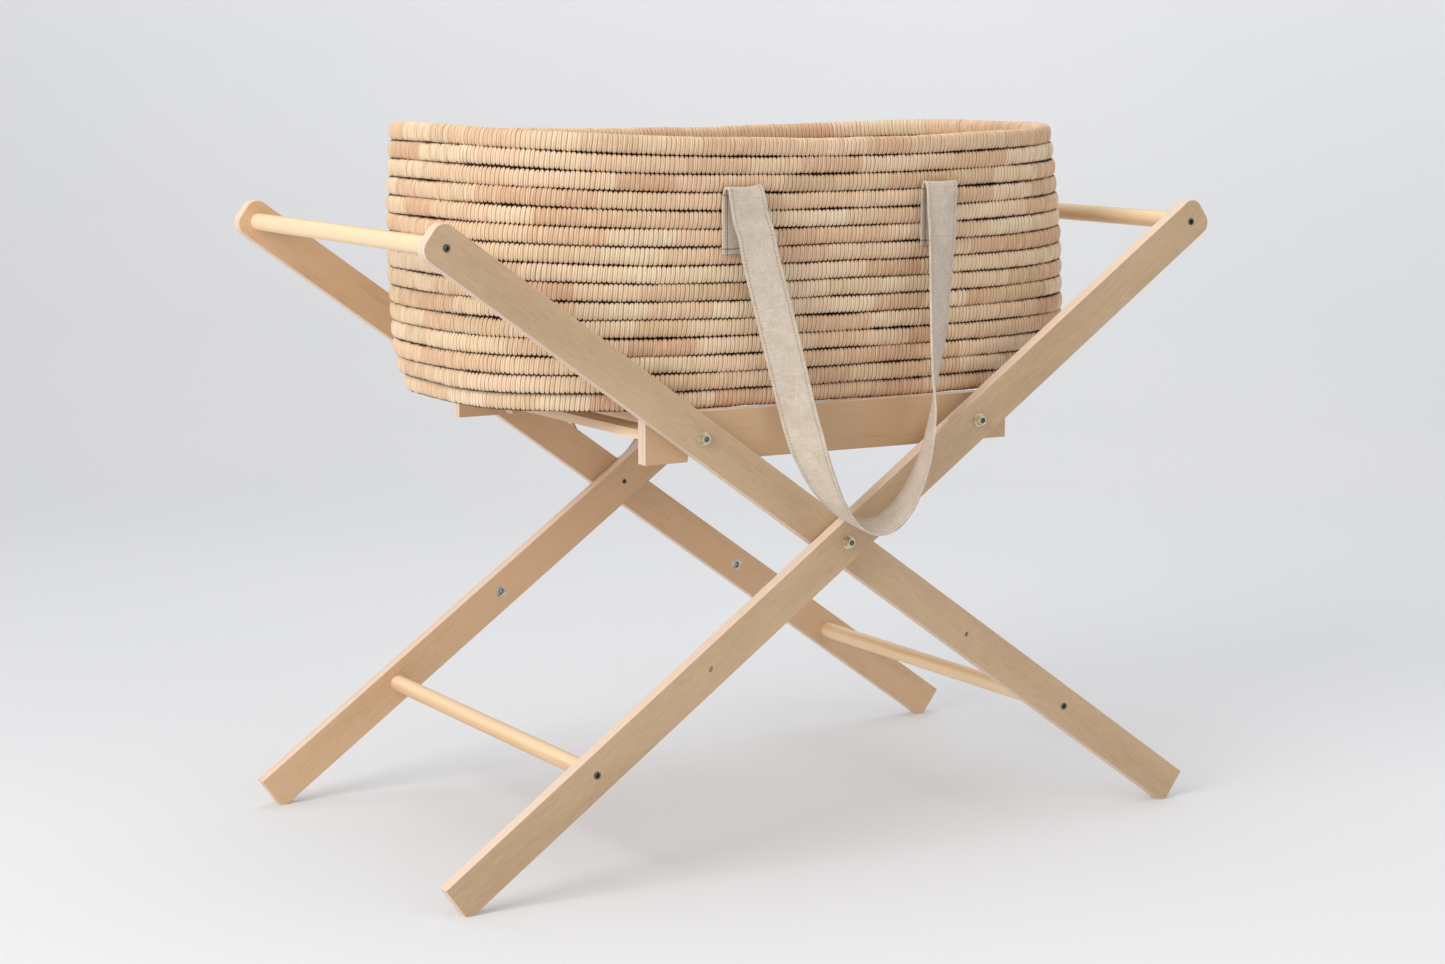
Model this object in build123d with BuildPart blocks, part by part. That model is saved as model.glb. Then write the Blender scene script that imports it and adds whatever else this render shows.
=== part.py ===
"""A baby's bassinet: a coiled palm-leaf basket with two carry straps, on a folding cross-leg stand.

Frame: +X along the basket, +Y from the near side to the far side, +Z up, with the origin on the
floor under the middle of the stand. All sizes are in millimetres, all angles in degrees.

The stand is two identical frames, A and B, each made of two plywood legs and two dowels. They
cross at a pivot on each side and are set one leg's thickness apart, so that on the near side leg A
runs inside leg B, and on the far side outside it. A small tray drops over four pins on the legs
and keeps them apart, and the basket stands loose on the tray.
"""

import os
from math import copysign, cos, pi, radians, sin

from build123d import *

os.makedirs("parts", exist_ok=True)

# ---------------------------------------------------------------- driving dimensions: the stand
leg_width = 40.0
ply = 15.0  # plywood thickness of the legs and the tray's rails
leg_angle = 35.7  # between a leg and the floor
reach_tip = 551.0  # distances along a leg from the pivot
reach_top = 531.0
reach_pin = 195.5
reach_low = 352.5
reach_foot = 538.0
tip_radius = 13.0
foot_cut = 4.0  # how much of the foot's corner is cut flat
edge_round = 0.8
overall_width = 509.0  # over the outer faces of the outer legs
washer_gap = 1.0  # between the two legs at a pivot

dowel_radius = 9.0
screw_head_radius = 4.0
screw_head_height = 4.5
screw_shank_radius = 3.0
screw_bite = 40.0  # how far a screw goes into the dowel's end
socket_radius = 2.4
socket_depth = 2.5

stud_radius = 3.0  # threaded ends of the pivots and of the pins
running_gap = 0.05
washer_radius = 7.0
washer_thickness = 1.2
spacer_radius = 9.0
nut_radius = 5.77  # over the hexagon's corners, 10 across its flats
nut_height = 5.0
collar_radius = 4.4
collar_height = 1.4

pin_radius = 4.0
pin_overhang = 2.0  # how far a pin passes the rail's inner face
sleeve_radius = 7.0
insert_flange_radius = 6.7
insert_flange_height = 1.2
insert_barrel_radius = 5.0
insert_depth = 10.5
insert_bore_radius = 3.35
insert_hole_radius = 2.9

# ----------------------------------------------------------------- driving dimensions: the tray
rail_length = 430.0
rail_height = 50.0
rail_gap = 0.5  # between a rail and the inner legs
seat_radius = 4.4
mouth_half_width = 9.0
slat_width = 27.0
slat_thickness = 9.0
slat_underside = 24.0  # above the rail's bottom edge
slat_centres = (138.5, 198.5)  # on each side of the middle
slat_bite = 5.0  # depth of a slat's mortise in the rail

# --------------------------------------------------------------- driving dimensions: the basket
rest_gap = 0.3  # between the rails and the basket's soft base
basket_half_length = 366.0
basket_half_width = 214.0
basket_top_narrowing = 7.6
basket_bulge_x = 8.0
basket_bulge_y = 2.0
basket_squareness = 3.1  # 2 is an ellipse, more is squarer
basket_centre_low = 18.3  # the basket stands a little off the middle and leans back
basket_centre_high = 6.2
wall_height = 264.0  # at the middle of a long side
wall_thickness = 17.0
coil_pitch = 17.6
base_thickness = 16.5
foot_inset = 6.0  # how far the lowest coil turns in
rim_rise_left = 15.0
rim_rise_right = 9.0
outline_points = 32

strap_width = 38.0
strap_thickness = 3.0
strap_droop = 0.25  # how much the strap's near edge hangs lower where the loop lies flat
droop_top = 600.0  # the droop sets in below this height and is full 150 mm lower
patch_thickness = 2.0
patch_height = 64.0
patch_gap = 0.3
strap_top = 682.0
# The near strap's centreline, from its left end to its right end: x, y, z, and the angle that its
# width is turned from X. It starts flat against the wall, turns its face to the left on the way
# down, lies flat at the bottom, and goes on turning the same way as it comes back up.
strap_route = (
    (-104.5, -220.8, 682, 0),
    (-102.5, -224.6, 667, -6),
    (-98.5, -229, 652, -11),
    (-94.5, -232.6, 636, -14),
    (-90.9, -235, 613, -18),
    (-81, -241, 566, -26),
    (-71, -247, 518, -34),
    (-61, -253, 470, -43),
    (-56.7, -258.1, 446.4, -47),
    (-52.4, -265.8, 423, -54),
    (-43.9, -271.2, 398.1, -62),
    (-31.7, -275.4, 374.1, -71),
    (-12.5, -277.2, 351.9, -80),
    (9.7, -277.5, 343.2, -88),
    (32.2, -277.5, 346.7, -96),
    (52.4, -277.6, 362.7, -103),
    (68.1, -277.2, 386.8, -108),
    (78.7, -276.4, 412, -112),
    (86, -274, 436.8, -116),
    (93, -268, 460.5, -121),
    (99.5, -261, 490, -132),
    (105.6, -256, 522, -143),
    (110.5, -251, 546, -149),
    (119.2, -240.5, 593, -158),
    (126, -232.6, 635, -168),
    (127.8, -229, 652, -172),
    (128.8, -224.6, 667, -177),
    (130, -220.8, 682, -180),
)

# ------------------------------------------------------------------------------ worked-out places
tilt = radians(leg_angle)
pivot_height = reach_foot * sin(tilt) + leg_width / 2 * cos(tilt) - foot_cut
outer_layer = overall_width / 2 - ply  # inner face of an outer leg
inner_layer = outer_layer - washer_gap - ply  # inner face of an inner leg
dowel_length = inner_layer + outer_layer
pin_x = reach_pin * cos(tilt)
pin_z = pivot_height + reach_pin * sin(tilt)

rail_outer_face = inner_layer - rail_gap
rail_inner_face = rail_outer_face - ply
rail_bottom = pin_z - rail_height / 2
rail_top = rail_bottom + rail_height

basket_bottom = rail_top + rest_gap
rim_middle = basket_bottom + wall_height
base_top = basket_bottom + base_thickness

# Frame A leans its top ends towards -X, and frame B towards +X.
lean_a = -1
lean_b = 1
near = -1
far = 1


def save(piece, name):
    """Label a finished piece and write its file."""
    piece.label = name
    export_step(piece, f"parts/{name}.step")


def save_group(pieces, name):
    """Write several equal pieces, each its own solid, as one node."""
    group = Compound(label=name, children=pieces)
    export_step(group, f"parts/{name}.step")


def leg_plane(side, lean, face):
    """A leg's own plane: X up the leg, the origin at the pivot, Z outwards, at that distance."""
    up_the_leg = (lean * cos(tilt), 0, sin(tilt))
    return Plane(origin=(0, side * face, pivot_height), x_dir=up_the_leg, z_dir=(0, side, 0))


def leg_face(side, lean):
    """How far a leg's inner face is from the stand's middle plane."""
    return inner_layer if side * lean > 0 else outer_layer


def inward(plane):
    """The same place with its Z turned back, towards the middle of the stand."""
    return Plane(origin=plane.origin, x_dir=plane.x_dir, z_dir=-plane.z_dir)


# ---------------------------------------------------------------------------------------- the legs
def make_leg(side, lean):
    inside = leg_plane(side, lean, leg_face(side, lean))
    outside = inside.offset(ply)
    with BuildPart() as leg:
        with BuildSketch(inside) as outline:
            with Locations(((reach_tip - reach_foot) / 2, 0)):
                Rectangle(reach_tip + reach_foot, leg_width)
            fillet(outline.vertices().sort_by(Axis.X)[-2:], tip_radius)
        extrude(amount=ply)
        broad_faces = leg.faces().sort_by(Axis.Y)
        fillet(broad_faces[0].edges() + broad_faces[-1].edges(), edge_round)
        split(bisect_by=Plane.XY, keep=Keep.TOP)
        with Locations(outside.location):
            with Locations((0, 0)):
                Hole(stud_radius + running_gap, depth=ply)
            with Locations((reach_pin, 0)):
                Hole(pin_radius, depth=ply)
            with Locations((reach_top, 0), (-reach_low, 0)):
                CounterBoreHole(screw_shank_radius, screw_head_radius, screw_head_height, depth=ply)
        with Locations(inward(inside).location):
            with Locations((-reach_pin, 0)):
                CounterBoreHole(insert_hole_radius, insert_barrel_radius, insert_depth, depth=ply)
                Hole(insert_flange_radius, depth=insert_flange_height)
    return leg.part


for lean, frame in ((lean_a, "a"), (lean_b, "b")):
    for side, side_name in ((near, "near"), (far, "far")):
        save(make_leg(side, lean), f"leg_{frame}_{side_name}")


# -------------------------------------------------------------------------- the dowels and screws
def dowel_place(side, lean, reach):
    """The plane across a dowel's end, against the leg's inner face, with Z towards the leg."""
    along_leg = leg_plane(side, lean, leg_face(side, lean))
    return Plane(origin=along_leg.from_local_coords((reach, 0, 0)), z_dir=along_leg.z_dir)


def make_dowel(lean, reach):
    with BuildPart() as dowel:
        with BuildSketch(dowel_place(near, lean, reach)):
            Circle(dowel_radius)
        extrude(amount=-dowel_length)
        for side in (near, far):
            with Locations(dowel_place(side, lean, reach).location):
                Hole(screw_shank_radius, depth=screw_bite)
    return dowel.part


def make_screw(side, lean, reach):
    head = dowel_place(side, lean, reach).offset(ply)
    with BuildPart() as screw:
        with BuildSketch(head):
            Circle(screw_head_radius)
        extrude(amount=-screw_head_height)
        with BuildSketch(head):
            Circle(screw_shank_radius)
        extrude(amount=-(ply + screw_bite))
        with BuildSketch(head):
            RegularPolygon(socket_radius, 6)
        extrude(amount=-socket_depth, mode=Mode.SUBTRACT)
    return screw.part


for lean, frame in ((lean_a, "a"), (lean_b, "b")):
    save(make_dowel(lean, reach_top), f"dowel_{frame}_upper")
    save(make_dowel(lean, -reach_low), f"dowel_{frame}_lower")
    places = [(side, reach) for side in (near, far) for reach in (reach_top, -reach_low)]
    save_group([make_screw(side, lean, reach) for side, reach in places], f"dowel_screws_{frame}")


# ------------------------------------------------------------- washers, lock nuts, pins and pivots
def make_ring(start, outer, inner, height):
    """A washer or sleeve that stands on a plane."""
    with BuildPart() as ring:
        with BuildSketch(start):
            Circle(outer)
            Circle(inner, mode=Mode.SUBTRACT)
        extrude(amount=height)
    return ring.part


def make_nut(start):
    """A lock nut: a hexagon with the round collar that holds its nylon ring."""
    with BuildPart() as nut:
        with BuildSketch(start):
            RegularPolygon(nut_radius, 6)
        extrude(amount=nut_height)
        with BuildSketch(start.offset(nut_height)):
            Circle(collar_radius)
        extrude(amount=collar_height)
        with Locations(start.offset(nut_height + collar_height).location):
            Hole(stud_radius, depth=nut_height + collar_height)
    return nut.part


def outer_face(side, lean, reach):
    """The plane on a leg's outer face, with its origin at a distance along the leg."""
    place = leg_plane(side, lean, leg_face(side, lean) + ply)
    return Plane(origin=place.from_local_coords((reach, 0, 0)), x_dir=(1, 0, 0), z_dir=place.z_dir)


def make_pivot_stud(side):
    """The hinge bolt, from just inside the inner leg to the end of its nut."""
    outside = Plane(origin=(0, side * (outer_layer + ply), pivot_height), z_dir=(0, side, 0))
    thread = washer_thickness + nut_height + collar_height / 2
    with BuildPart() as stud:
        with BuildSketch(outside.offset(thread)):
            Circle(stud_radius)
        extrude(amount=-(thread + 2 * ply + washer_gap - 1))
        inner_end = Plane(origin=(0, side * (inner_layer + 1), pivot_height), z_dir=(0, side, 0))
        with BuildSketch(inner_end):
            RegularPolygon(socket_radius * 0.7, 6)
        extrude(amount=socket_depth, mode=Mode.SUBTRACT)
    return stud.part


def make_support_pin(side, lean):
    """A pin that the tray hangs on: plain inside the leg, threaded for its nut outside."""
    outside = outer_face(side, lean, reach_pin)
    inner_end = rail_inner_face - pin_overhang
    thread = washer_thickness + nut_height + collar_height / 2
    with BuildPart() as pin:
        with BuildSketch(outside):
            Circle(pin_radius)
        extrude(amount=-(leg_face(side, lean) + ply - inner_end))
        with BuildSketch(outside):
            Circle(stud_radius)
        extrude(amount=thread)
    return pin.part


def make_insert(side, lean):
    """A flanged threaded insert in a leg's inner face, a second place for a support pin."""
    inside = leg_plane(side, lean, leg_face(side, lean))
    place = Plane(origin=inside.from_local_coords((-reach_pin, 0, 0)), z_dir=inside.z_dir)
    with BuildPart() as insert:
        with BuildSketch(place):
            Circle(insert_flange_radius)
        extrude(amount=insert_flange_height)
        with BuildSketch(place):
            Circle(insert_barrel_radius)
        extrude(amount=insert_depth)
        with Locations(place.offset(insert_depth).location):
            Hole(insert_bore_radius, depth=insert_depth)
    return insert.part


sides = (near, far)
pivot_faces = [
    Plane(origin=(0, side * (outer_layer + ply), pivot_height), z_dir=(0, side, 0)) for side in sides
]
gap_faces = [
    Plane(origin=(0, side * (inner_layer + ply), pivot_height), z_dir=(0, side, 0)) for side in sides
]
pivot_bore = stud_radius + running_gap
save_group([make_pivot_stud(side) for side in sides], "pivot_studs")
save_group(
    [make_ring(face, spacer_radius, pivot_bore, washer_gap) for face in gap_faces], "pivot_spacers"
)
save_group(
    [make_ring(face, washer_radius, stud_radius, washer_thickness) for face in pivot_faces],
    "pivot_washers",
)
save_group([make_nut(face.offset(washer_thickness)) for face in pivot_faces], "pivot_nuts")

for lean, frame in ((lean_a, "a"), (lean_b, "b")):
    faces = [outer_face(side, lean, reach_pin) for side in sides]
    save_group([make_support_pin(side, lean) for side in sides], f"support_pins_{frame}")
    save_group(
        [make_ring(face, washer_radius, stud_radius, washer_thickness) for face in faces],
        f"pin_washers_{frame}",
    )
    save_group([make_nut(face.offset(washer_thickness)) for face in faces], f"pin_nuts_{frame}")
    outer_side = far if lean == lean_a else near
    sleeve_start = outer_face(outer_side, lean, reach_pin).offset(inner_layer - outer_layer - ply)
    save(
        make_ring(sleeve_start, sleeve_radius, pin_radius, outer_layer - inner_layer),
        f"pin_sleeve_{frame}",
    )
    save_group([make_insert(side, lean) for side in sides], f"threaded_inserts_{frame}")


# ---------------------------------------------------------------------------------------- the tray
def make_rail(side):
    """A rail on edge, with a tapered slot near each end that drops over a pin."""
    inner = Plane(origin=(0, side * rail_inner_face, pin_z), x_dir=(1, 0, 0), z_dir=(0, side, 0))
    drop = rail_height / 2 + 1
    mouth = seat_radius + (mouth_half_width - seat_radius) * drop / (rail_height / 2)
    slat_z = rail_bottom + slat_underside + slat_thickness / 2
    with BuildPart() as rail:
        with BuildSketch(inner):
            Rectangle(rail_length, rail_height)
        extrude(amount=ply)
        broad_faces = rail.faces().sort_by(Axis.Y)
        fillet(broad_faces[0].edges() + broad_faces[-1].edges(), edge_round)
        down = -drop if inner.y_dir.Z > 0 else drop
        with BuildSketch(inner):
            with Locations((-pin_x, 0), (pin_x, 0)):
                Circle(seat_radius)
                Polygon(
                    (-mouth, down),
                    (mouth, down),
                    (seat_radius, 0),
                    (-seat_radius, 0),
                    align=None,
                )
        extrude(amount=ply, mode=Mode.SUBTRACT)
        mortise_y = side * (rail_inner_face + slat_bite / 2)
        with Locations(*[(s * x, mortise_y, slat_z) for s in (-1, 1) for x in slat_centres]):
            Box(slat_width, slat_bite, slat_thickness, mode=Mode.SUBTRACT)
    return rail.part


def make_slat(centre_x):
    """A cross slat whose ends are let into the rails."""
    underside = Plane.XY.offset(rail_bottom + slat_underside)
    with BuildPart() as slat:
        with BuildSketch(underside):
            with Locations((centre_x, 0)):
                Rectangle(slat_width, 2 * (rail_inner_face + slat_bite))
        extrude(amount=slat_thickness)
    return slat.part


save(make_rail(near), "tray_rail_near")
save(make_rail(far), "tray_rail_far")
save(make_slat(-slat_centres[1]), "tray_slat_left_end")
save(make_slat(-slat_centres[0]), "tray_slat_left_inner")
save(make_slat(slat_centres[0]), "tray_slat_right_inner")
save(make_slat(slat_centres[1]), "tray_slat_right_end")


# -------------------------------------------------------------------------------------- the basket
def basket_size(height):
    """The outline's half length, half width and centre at a height above the basket's bottom."""
    h = height / wall_height
    belly = 4 * h * (1 - h)
    half_length = basket_half_length - basket_top_narrowing * h + basket_bulge_x * belly
    half_width = basket_half_width + basket_bulge_y * belly
    centre = basket_centre_low + (basket_centre_high - basket_centre_low) * h
    return half_length, half_width, centre


def oval(height, inset):
    """Points round the basket's outline: a squared ellipse, drawn in at the bottom."""
    half_length, half_width, centre = basket_size(height)
    half_length -= inset
    half_width -= inset
    points = []
    for i in range(outline_points):
        turn = 2 * pi * i / outline_points
        across = abs(cos(turn) / half_length) ** basket_squareness
        along = abs(sin(turn) / half_width) ** basket_squareness
        radius = (across + along) ** (-1 / basket_squareness)
        points.append((centre + radius * cos(turn), radius * sin(turn)))
    return points


def make_stack(insets):
    """A solid through outlines at several heights, given as (height, inset)."""
    with BuildPart() as stack:
        for height, inset in insets:
            with BuildSketch(Plane.XY.offset(basket_bottom + height)):
                with BuildLine():
                    Spline(oval(height, inset), periodic=True)
                make_face()
        loft(ruled=True)
    return stack.part


def make_above_rim(drop):
    """Everything above the rim's swept line, lowered by a distance."""
    left = basket_centre_high - basket_half_length
    right = basket_centre_high + basket_half_length
    beyond = 60
    sky = rim_middle + 300
    with BuildPart() as above:
        with BuildSketch(Plane.XZ):
            with BuildLine():
                rim_line = Spline(
                    (left, rim_middle + rim_rise_left - drop),
                    (basket_centre_high, rim_middle - drop),
                    (right, rim_middle + rim_rise_right - drop),
                )
                Polyline(
                    rim_line @ 1,
                    (right + beyond, (rim_line @ 1).Y),
                    (right + beyond, sky),
                    (left - beyond, sky),
                    (left - beyond, (rim_line @ 0).Y),
                    rim_line @ 0,
                )
            make_face()
        extrude(amount=basket_half_width + beyond, both=True)
    return above.part


tall = wall_height + 40
outside_levels = ((0, foot_inset), (6, 2.0), (14, 0.3), (70, 0), (140, 0), (210, 0), (tall, 0))
inside_levels = [
    (height, wall_thickness) for height in (base_thickness - 10, 70, 140, 210, tall + 10)
]
outer_shape = make_stack(outside_levels)
inner_shape = make_stack(inside_levels)
above_rim = make_above_rim(0)
above_wall = make_above_rim(coil_pitch)

with BuildPart() as basket_base:
    add(outer_shape)
    split(bisect_by=Plane.XY.offset(base_top), keep=Keep.BOTTOM)
save(basket_base.part, "basket_base")

with BuildPart() as basket_wall:
    add(outer_shape)
    add(inner_shape, mode=Mode.SUBTRACT)
    add(above_wall, mode=Mode.SUBTRACT)
    split(bisect_by=Plane.XY.offset(base_top), keep=Keep.TOP)
save(basket_wall.part, "basket_wall")

with BuildPart() as basket_rim:
    add(outer_shape)
    add(inner_shape, mode=Mode.SUBTRACT)
    add(above_rim, mode=Mode.SUBTRACT)
    add(above_wall, mode=Mode.INTERSECT)
save(basket_rim.part, "basket_rim")


# ---------------------------------------------------------------------------------- the carry straps
def strap_plane(index):
    """The plane across the strap at one point of its route, with X along the strap's width."""
    x, y, z, turn = strap_route[index]
    before = Vector(*strap_route[max(index - 1, 0)][:3])
    after = Vector(*strap_route[min(index + 1, len(strap_route) - 1)][:3])
    ahead = (after - before).normalized()
    droop = strap_droop * min(max((droop_top - z) / 150, 0), 1)
    width = Vector(cos(radians(turn)), sin(radians(turn)), -droop)
    width = width - ahead * width.dot(ahead)
    return Plane(origin=(x, y, z), x_dir=width, z_dir=ahead)


with BuildPart() as strap_near:
    for station in range(len(strap_route)):
        with BuildSketch(strap_plane(station)):
            Rectangle(strap_width, strap_thickness)
    loft(ruled=True)
save(strap_near.part, "strap_near")

with BuildPart() as strap_far:
    add(strap_near.part)
    mirror(about=Plane.XZ, mode=Mode.REPLACE)
save(strap_far.part, "strap_far")


def make_patch(side, centre_x):
    """A strap's sewn-down end, flat against the wall under the hanging part."""
    wall = basket_half_width + basket_bulge_y + patch_gap
    bottom = Plane.XY.offset(strap_top - patch_height)
    with BuildPart() as patch:
        with BuildSketch(bottom):
            with Locations((centre_x, side * (wall + patch_thickness / 2))):
                Rectangle(strap_width, patch_thickness)
        extrude(amount=patch_height)
    return patch.part


for side, side_name in ((near, "near"), (far, "far")):
    ends = (strap_route[0][0], strap_route[-1][0])
    save_group([make_patch(side, x) for x in ends], f"strap_ends_{side_name}")
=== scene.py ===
# %% [markdown]
# # A palm-leaf bassinet on a folding stand
#
# The stand's wood and metal come in as finished solids, so here they only need their finishes.
# The basket and its two straps are soft, and are modelled here: the basket as one wrapped coil
# above another, the straps as strips of webbing. Everything is in metres, with +X along the
# basket, +Y to the far side and +Z up.

# %% Load the frame
import math

import bpy
import numpy as np
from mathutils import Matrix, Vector


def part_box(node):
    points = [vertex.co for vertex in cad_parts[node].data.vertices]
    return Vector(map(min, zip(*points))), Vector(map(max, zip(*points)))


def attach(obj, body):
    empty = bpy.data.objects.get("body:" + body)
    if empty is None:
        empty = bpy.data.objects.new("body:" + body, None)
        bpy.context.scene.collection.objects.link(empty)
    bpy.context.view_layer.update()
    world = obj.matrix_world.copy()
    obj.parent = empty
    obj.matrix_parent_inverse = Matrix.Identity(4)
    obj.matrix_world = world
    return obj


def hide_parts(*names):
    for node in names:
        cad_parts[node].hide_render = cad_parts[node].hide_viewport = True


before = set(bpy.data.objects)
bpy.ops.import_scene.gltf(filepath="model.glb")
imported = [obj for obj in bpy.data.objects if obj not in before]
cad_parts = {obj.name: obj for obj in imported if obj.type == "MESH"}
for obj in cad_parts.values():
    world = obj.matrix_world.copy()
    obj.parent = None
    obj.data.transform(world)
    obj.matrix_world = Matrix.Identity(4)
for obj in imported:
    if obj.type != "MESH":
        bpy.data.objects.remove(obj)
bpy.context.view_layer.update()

# %% [markdown]
# ## Camera
# The camera stands low in front of the near side, turned 30 degrees to the basket, and looks
# slightly down. A long lens keeps the far legs nearly as large as the near ones.

# %% The camera
SENSOR_WIDTH = 36.0
camera_data = bpy.data.cameras.new("camera")
camera_data.sensor_width = SENSOR_WIDTH
camera_data.lens = 72.11
camera = bpy.data.objects.new("camera", camera_data)
camera.location = (-1.5492, -2.6849, 0.8187)
camera.rotation_euler = (math.radians(90 - 8.52), 0, math.radians(-30))
bpy.context.scene.collection.objects.link(camera)
bpy.context.scene.camera = camera
print("camera at", [round(v, 2) for v in camera.location])

# %% [markdown]
# ## Light
# A pale studio: a big soft light high on the left, a weaker one in front on the right, one
# overhead, and a bright even sky that fills the shadows.

# %% Studio
scene = bpy.context.scene
scene.view_settings.view_transform = "Standard"


def soft_light(name, place, aim, size, power, colour=(1, 1, 1)):
    """A square area light at a place, turned to a point."""
    data = bpy.data.lights.new(name, "AREA")
    data.size = size
    data.energy = power
    data.color = colour
    light = bpy.data.objects.new(name, data)
    light.location = place
    light.rotation_euler = (Vector(aim) - Vector(place)).to_track_quat("-Z", "Y").to_euler()
    scene.collection.objects.link(light)
    return light


soft_light("key", (-3.4, -1.1, 2.3), (0, 0, 0.45), 2.2, 96, (1.0, 0.985, 0.96))
soft_light("fill", (1.6, -3.4, 2.2), (0, 0, 0.5), 2.4, 12, (0.98, 0.99, 1.0))
soft_light("top", (0.2, 0.4, 3.6), (0, 0, 0.3), 3.0, 30)

world = bpy.data.worlds.new("studio")
scene.world = world
world.use_nodes = True
sky = world.node_tree.nodes["Background"]
sky.inputs["Color"].default_value = (0.985, 0.975, 0.975, 1)
sky.inputs["Strength"].default_value = 0.635
print("three soft lights and an even sky")

# %% [markdown]
# ## Writing materials
# Shader maths reads best as plain expressions, so a small class wraps a node's output and turns
# each operator into a Math node. A second class holds a material and adds any other node.

# %% Shader helpers
class Wire:
    """A value inside a material. Operators on it add Math nodes."""

    def __init__(self, paint, socket):
        self.paint = paint
        self.socket = socket

    def math(self, operation, *others, swap=False):
        values = [self, *others]
        if swap:
            values.reverse()
        inputs = dict(enumerate(values))
        return self.paint.node("Math", {"operation": operation}, inputs)

    def __add__(self, other):
        return self.math("ADD", other)

    def __radd__(self, other):
        return self.math("ADD", other)

    def __sub__(self, other):
        return self.math("SUBTRACT", other)

    def __rsub__(self, other):
        return self.math("SUBTRACT", other, swap=True)

    def __mul__(self, other):
        return self.math("MULTIPLY", other)

    def __rmul__(self, other):
        return self.math("MULTIPLY", other)

    def __truediv__(self, other):
        return self.math("DIVIDE", other)

    def __abs__(self):
        return self.math("ABSOLUTE")

    def fract(self):
        return self.math("FRACT")

    def floor(self):
        return self.math("FLOOR")

    def sine(self):
        return self.math("SINE")

    def step(self, low, high):
        """0 below low, 1 above high, and a smooth rise between them."""
        inputs = {"Value": self, "From Min": low, "From Max": high}
        return self.paint.node("MapRange", {"interpolation_type": "SMOOTHSTEP"}, inputs)


SHADER_SOCKETS = {"metallic": "Metallic", "specular": "Specular IOR Level", "sheen": "Sheen Weight"}


class Paint:
    """A material with one Principled shader."""

    def __init__(self, name):
        self.material = bpy.data.materials.new(name)
        self.material.use_nodes = True
        self.tree = self.material.node_tree
        self.shader = self.tree.nodes["Principled BSDF"]
        self.place = self.node("TexCoord", out="Object")
        self.normal = Wire(self, self.place.socket.node.outputs["Normal"])
        self.uv = Wire(self, self.place.socket.node.outputs["UV"])

    def node(self, kind, settings=None, inputs=None, out=0):
        """Add a node. Its settings come first, then the values or wires of its sockets."""
        node = self.tree.nodes.new("ShaderNode" + kind)
        for name, value in (settings or {}).items():
            if name == "stops":
                self.stops(node, value)
            else:
                setattr(node, name, value)
        for name, value in (inputs or {}).items():
            self.feed(node.inputs[name], value)
        return Wire(self, node.outputs[out])

    def stops(self, node, stops):
        """Set a colour ramp's stops, each a position and a colour."""
        elements = node.color_ramp.elements
        while len(elements) < len(stops):
            elements.new(0.5)
        for element, (position, colour) in zip(elements, stops):
            element.position = position
            element.color = (*colour, 1)

    def feed(self, socket, value):
        """Link a wire to a socket, or set the socket to a number or a colour."""
        if isinstance(value, Wire):
            self.tree.links.new(value.socket, socket)
        elif isinstance(value, tuple) and len(value) == 3 and socket.type == "RGBA":
            socket.default_value = (*value, 1)
        else:
            socket.default_value = value

    def axes(self, vector):
        """The three parts of a vector."""
        x = self.node("SeparateXYZ", inputs={"Vector": vector})
        outputs = x.socket.node.outputs
        return x, Wire(self, outputs[1]), Wire(self, outputs[2])

    def combine(self, x, y, z):
        return self.node("CombineXYZ", inputs={"X": x, "Y": y, "Z": z})

    def noise(self, vector, scale, detail=3.0, roughness=0.55):
        inputs = {"Vector": vector, "Scale": scale, "Detail": detail, "Roughness": roughness}
        return self.node("TexNoise", inputs=inputs)

    def random(self, value):
        """One even random number for each whole number."""
        return self.node("TexWhiteNoise", {"noise_dimensions": "1D"}, {"W": value})

    def ramp(self, value, *stops):
        """A colour that changes with a value, through the given stops."""
        return self.node("ValToRGB", {"stops": stops}, {"Fac": value})

    def mix(self, share, first, second):
        """The first colour where the share is 0 and the second where it is 1."""
        colours = {0: share, 6: first, 7: second}
        return self.node("Mix", {"data_type": "RGBA"}, colours, out=2)

    def finish(self, colour, roughness, bump=None, height=0.0005, **values):
        """Feed the shader: colour, roughness and bump may vary, the other values are constant."""
        self.feed(self.shader.inputs["Base Color"], colour)
        self.feed(self.shader.inputs["Roughness"], roughness)
        if bump is not None:
            bumped = self.node("Bump", inputs={"Height": bump, "Distance": height})
            self.feed(self.shader.inputs["Normal"], bumped)
        for name, value in values.items():
            self.feed(self.shader.inputs[SHADER_SOCKETS[name]], value)
        return self.material


def srgb(red, green, blue):
    """A colour given as it looks on a screen, 0 to 255, as the linear numbers a shader needs."""

    def linear(part):
        part /= 255
        return part / 12.92 if part <= 0.04045 else ((part + 0.055) / 1.055) ** 2.4

    return tuple(round(linear(part), 4) for part in (red, green, blue))


print("shader helpers ready")

# %% [markdown]
# ## The floor
# The floor is one sheet that runs back behind the stand and then curves up into a wall, as in a
# studio, so that no horizon shows from the front. The wall and the right side of the sheet give
# off a little light of their own.

# %% Floor
FLOOR_WIDTH = 16.0
FLOOR_FRONT = -7.0
CURVE_START = 2.2
CURVE_RADIUS = 1.6
WALL_TOP = 6.0
SHEET_STEPS = 40
WALL_GLOW = 0.13
RIGHT_GLOW = 0.08


def deselect():
    """Start each piece with nothing selected."""
    if bpy.context.object and bpy.context.object.mode != "OBJECT":
        bpy.ops.object.mode_set(mode="OBJECT")
    bpy.ops.object.select_all(action="DESELECT")


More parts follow.
